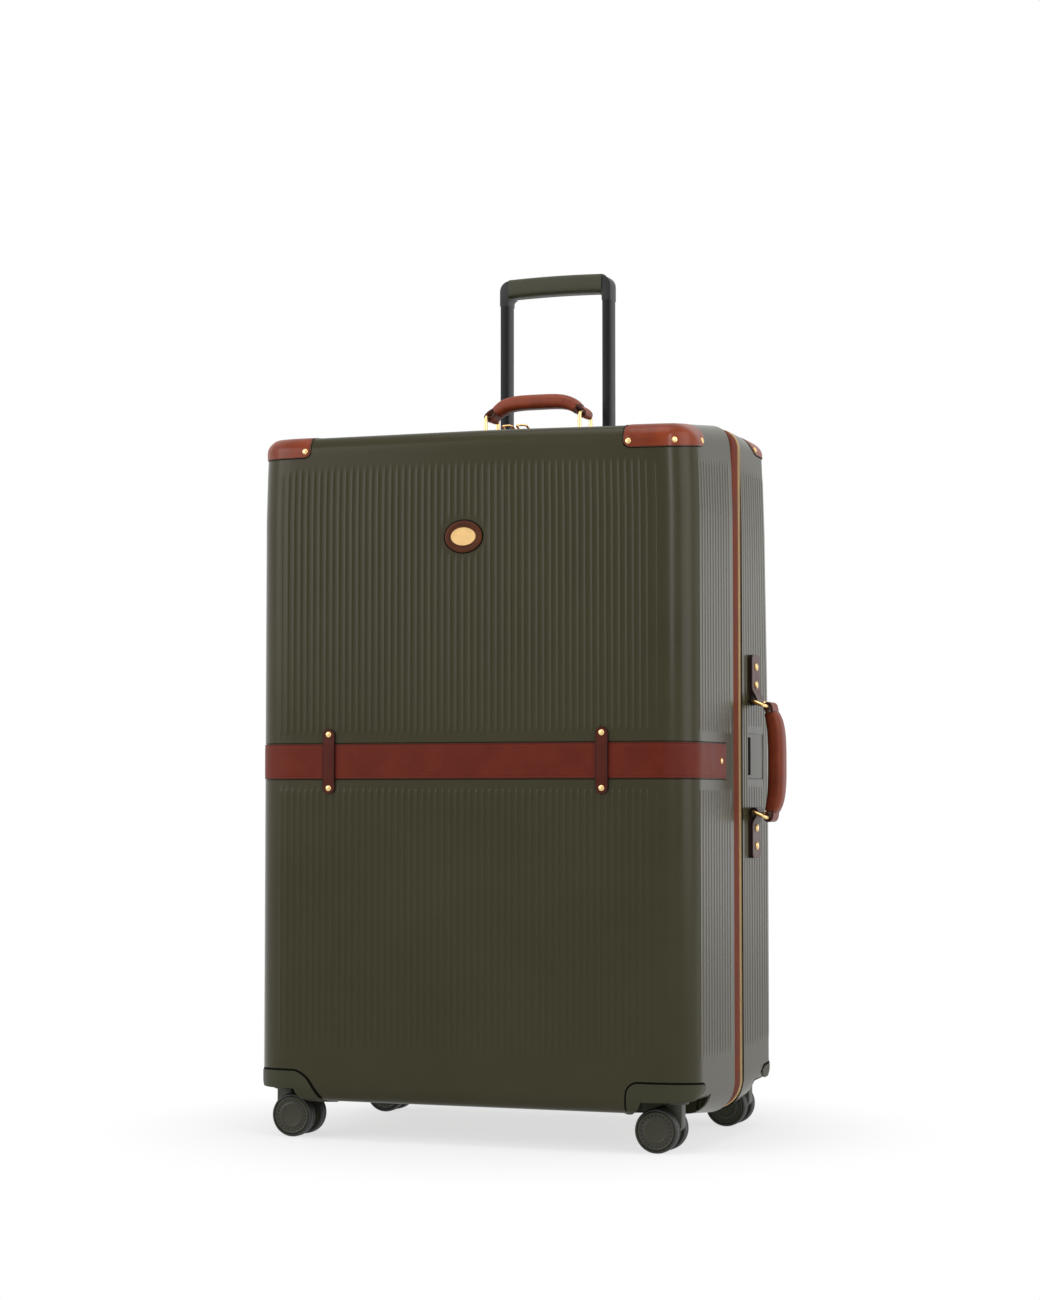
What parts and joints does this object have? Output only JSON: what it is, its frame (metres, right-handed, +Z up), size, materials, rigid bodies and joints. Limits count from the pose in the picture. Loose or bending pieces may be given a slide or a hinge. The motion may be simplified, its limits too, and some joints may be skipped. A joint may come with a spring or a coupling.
{
  "type": "suitcase",
  "caption": "Tall hard-shell suitcase with leather belt, corner caps and swing handles, a telescopic handle, a zip-closed opening front and swivelling twin-wheel casters.",
  "frame": {"origin": "on the floor under the middle of the case", "axes": "+X right seen from the front, +Y from the front to the telescopic handle's side, +Z up"},
  "size_m": [0.5727, 0.3574, 1.0288],
  "materials": {
    "shell": "fine satin moulded plastic",
    "housing": "satin moulded plastic",
    "belt_leather": "smooth dark brown leather",
    "cognac_leather": "smooth cognac leather",
    "brass": "polished brass",
    "zip": "brass-coloured zip chain",
    "tape": "woven tape",
    "lining": "woven lining cloth",
    "webbing": "webbing straps",
    "tube": "dark anodised tube",
    "grip_plastic": "olive moulded grip",
    "black_plastic": "black moulded plastic",
    "fork_plastic": "dark olive moulded plastic",
    "hub": "dark olive moulded plastic",
    "tyre": "soft wheel tread",
    "steel": "steel pin",
    "aluminium": "extruded channel"
  },
  "bodies": {
    "rear_case": {"rear_shell": "shell", "rear_lining": "lining", "zip_half_rear": "zip", "hinge_tape": "tape", "trolley_channels": "aluminium", "trolley_bezel": "black_plastic", "handle_brackets": "brass", "side_tabs": "belt_leather", "rear_caps": "cognac_leather", "rear_rivets": "brass", "rear_housings": "housing", "rear_feet": "black_plastic", "lock_body": "black_plastic", "packing_straps": "webbing"},
    "front_case": {"front_shell": "shell", "front_lining": "lining", "zip_band": "cognac_leather", "zip_half_front": "zip", "belt": "belt_leather", "belt_keepers": "belt_leather", "front_caps": "cognac_leather", "front_rivets": "brass", "badge_pad": "belt_leather", "badge_plate": "brass", "front_housings": "housing", "front_feet": "black_plastic"},
    "trolley": {"trolley_tubes": "tube", "trolley_sockets": "black_plastic", "trolley_grip": "grip_plastic"},
    "trolley_button": {"trolley_button": "black_plastic"},
    "top_ring_left": {"top_ring_left": "brass"},
    "top_ring_right": {"top_ring_right": "brass"},
    "top_grip": {"top_grip": "cognac_leather"},
    "side_ring_upper": {"side_ring_upper": "brass"},
    "side_ring_lower": {"side_ring_lower": "brass"},
    "side_grip": {"side_grip": "cognac_leather"},
    "lock_dial_1": {"lock_dial_1": "brass"},
    "lock_dial_2": {"lock_dial_2": "brass"},
    "lock_dial_3": {"lock_dial_3": "brass"},
    "lock_button": {"lock_button": "brass"},
    "zip_slider_left": {"zip_slider_left": "brass"},
    "zip_pull_left": {"zip_pull_left": "brass"},
    "zip_slider_right": {"zip_slider_right": "brass"},
    "zip_pull_right": {"zip_pull_right": "brass"},
    "fork_fl": {"caster_fork_fl": "fork_plastic"},
    "wheels_fl": {"caster_axle_fl": "steel", "caster_hubs_fl": "hub", "caster_tyres_fl": "tyre"},
    "fork_fr": {"caster_fork_fr": "fork_plastic"},
    "wheels_fr": {"caster_axle_fr": "steel", "caster_hubs_fr": "hub", "caster_tyres_fr": "tyre"},
    "fork_rl": {"caster_fork_rl": "fork_plastic"},
    "wheels_rl": {"caster_axle_rl": "steel", "caster_hubs_rl": "hub", "caster_tyres_rl": "tyre"},
    "fork_rr": {"caster_fork_rr": "fork_plastic"},
    "wheels_rr": {"caster_axle_rr": "steel", "caster_hubs_rr": "hub", "caster_tyres_rr": "tyre"}
  },
  "joints": [
    {"name": "case_open", "type": "hinge", "parent": "rear_case", "child": "front_case", "pos_m": [-0.2675, 0.03, 0], "axis": [0, 0, -1], "range_deg": [0, 180]},
    {"name": "trolley_slide", "type": "slide", "parent": "rear_case", "child": "trolley", "axis": [0, 0, 1], "range_m": [-0.173, 0]},
    {"name": "trolley_button_press", "type": "slide", "parent": "trolley", "child": "trolley_button", "axis": [0, 0, -1], "range_m": [0, 0.003], "stiffness_N_per_m": 400},
    {"name": "top_handle_swing", "type": "hinge", "parent": "rear_case", "child": "top_ring_left", "pos_m": [-0.06, 0.068, 0.823], "axis": [0, 1, 0], "range_deg": [-60, 60]},
    {"name": "top_grip_level", "type": "hinge", "parent": "top_ring_left", "child": "top_grip", "pos_m": [-0.06, 0.068, 0.847], "axis": [0, 1, 0], "range_deg": [-60, 60]},
    {"name": "top_ring_follow", "type": "hinge", "parent": "rear_case", "child": "top_ring_right", "pos_m": [0.06, 0.068, 0.823], "axis": [0, 1, 0], "range_deg": [-60, 60]},
    {"name": "side_handle_swing", "type": "hinge", "parent": "rear_case", "child": "side_ring_upper", "pos_m": [0.268, 0.08, 0.5], "axis": [0, 1, 0], "range_deg": [-72, 28]},
    {"name": "side_grip_level", "type": "hinge", "parent": "side_ring_upper", "child": "side_grip", "pos_m": [0.28469, 0.08, 0.49326], "axis": [0, 1, 0], "range_deg": [-28, 72]},
    {"name": "side_ring_follow", "type": "hinge", "parent": "rear_case", "child": "side_ring_lower", "pos_m": [0.268, 0.08, 0.371], "axis": [0, 1, 0], "range_deg": [-72, 28]},
    {"name": "swivel_fl", "type": "hinge", "parent": "front_case", "child": "fork_fl", "pos_m": [-0.235, -0.134, 0.057], "axis": [0, 0, 1], "continuous": true},
    {"name": "roll_fl", "type": "hinge", "parent": "fork_fl", "child": "wheels_fl", "pos_m": [-0.2185, -0.134, 0.0245], "axis": [0, 1, 0], "continuous": true},
    {"name": "swivel_fr", "type": "hinge", "parent": "front_case", "child": "fork_fr", "pos_m": [0.235, -0.134, 0.057], "axis": [0, 0, 1], "continuous": true},
    {"name": "roll_fr", "type": "hinge", "parent": "fork_fr", "child": "wheels_fr", "pos_m": [0.2185, -0.134, 0.0245], "axis": [0, 1, 0], "continuous": true},
    {"name": "swivel_rl", "type": "hinge", "parent": "rear_case", "child": "fork_rl", "pos_m": [-0.235, 0.134, 0.057], "axis": [0, 0, 1], "continuous": true},
    {"name": "roll_rl", "type": "hinge", "parent": "fork_rl", "child": "wheels_rl", "pos_m": [-0.2185, 0.134, 0.0245], "axis": [0, 1, 0], "continuous": true},
    {"name": "swivel_rr", "type": "hinge", "parent": "rear_case", "child": "fork_rr", "pos_m": [0.235, 0.134, 0.057], "axis": [0, 0, 1], "continuous": true},
    {"name": "roll_rr", "type": "hinge", "parent": "fork_rr", "child": "wheels_rr", "pos_m": [0.2185, 0.134, 0.0245], "axis": [0, 1, 0], "continuous": true},
    {"name": "dial_1_turn", "type": "hinge", "parent": "rear_case", "child": "lock_dial_1", "pos_m": [-0.019, 0.052, 0.8218], "axis": [1, 0, 0], "continuous": true},
    {"name": "dial_2_turn", "type": "hinge", "parent": "rear_case", "child": "lock_dial_2", "pos_m": [-0.01, 0.052, 0.8218], "axis": [1, 0, 0], "continuous": true},
    {"name": "dial_3_turn", "type": "hinge", "parent": "rear_case", "child": "lock_dial_3", "pos_m": [-0.001, 0.052, 0.8218], "axis": [1, 0, 0], "continuous": true},
    {"name": "lock_button_press", "type": "slide", "parent": "rear_case", "child": "lock_button", "axis": [0, 0, -1], "range_m": [0, 0.002], "stiffness_N_per_m": 300},
    {"name": "zip_left_run", "type": "slide", "parent": "rear_case", "child": "zip_slider_left", "axis": [1, 0, 0], "range_m": [-0.15, 0]},
    {"name": "zip_pull_left_swing", "type": "hinge", "parent": "zip_slider_left", "child": "zip_pull_left", "pos_m": [-0.017, 0.03, 0.8208], "axis": [1, 0, 0], "range_deg": [-92, 18]},
    {"name": "zip_right_run", "type": "slide", "parent": "rear_case", "child": "zip_slider_right", "axis": [1, 0, 0], "range_m": [0, 0.15]},
    {"name": "zip_pull_right_swing", "type": "hinge", "parent": "zip_slider_right", "child": "zip_pull_right", "pos_m": [0.001, 0.03, 0.8208], "axis": [1, 0, 0], "range_deg": [-92, 18]}
  ],
  "couplings": [
    {"joint": "top_grip_level", "follows": "top_handle_swing", "ratio": -1},
    {"joint": "top_ring_follow", "follows": "top_handle_swing", "ratio": 1},
    {"joint": "side_grip_level", "follows": "side_handle_swing", "ratio": -1},
    {"joint": "side_ring_follow", "follows": "side_handle_swing", "ratio": 1}
  ]
}
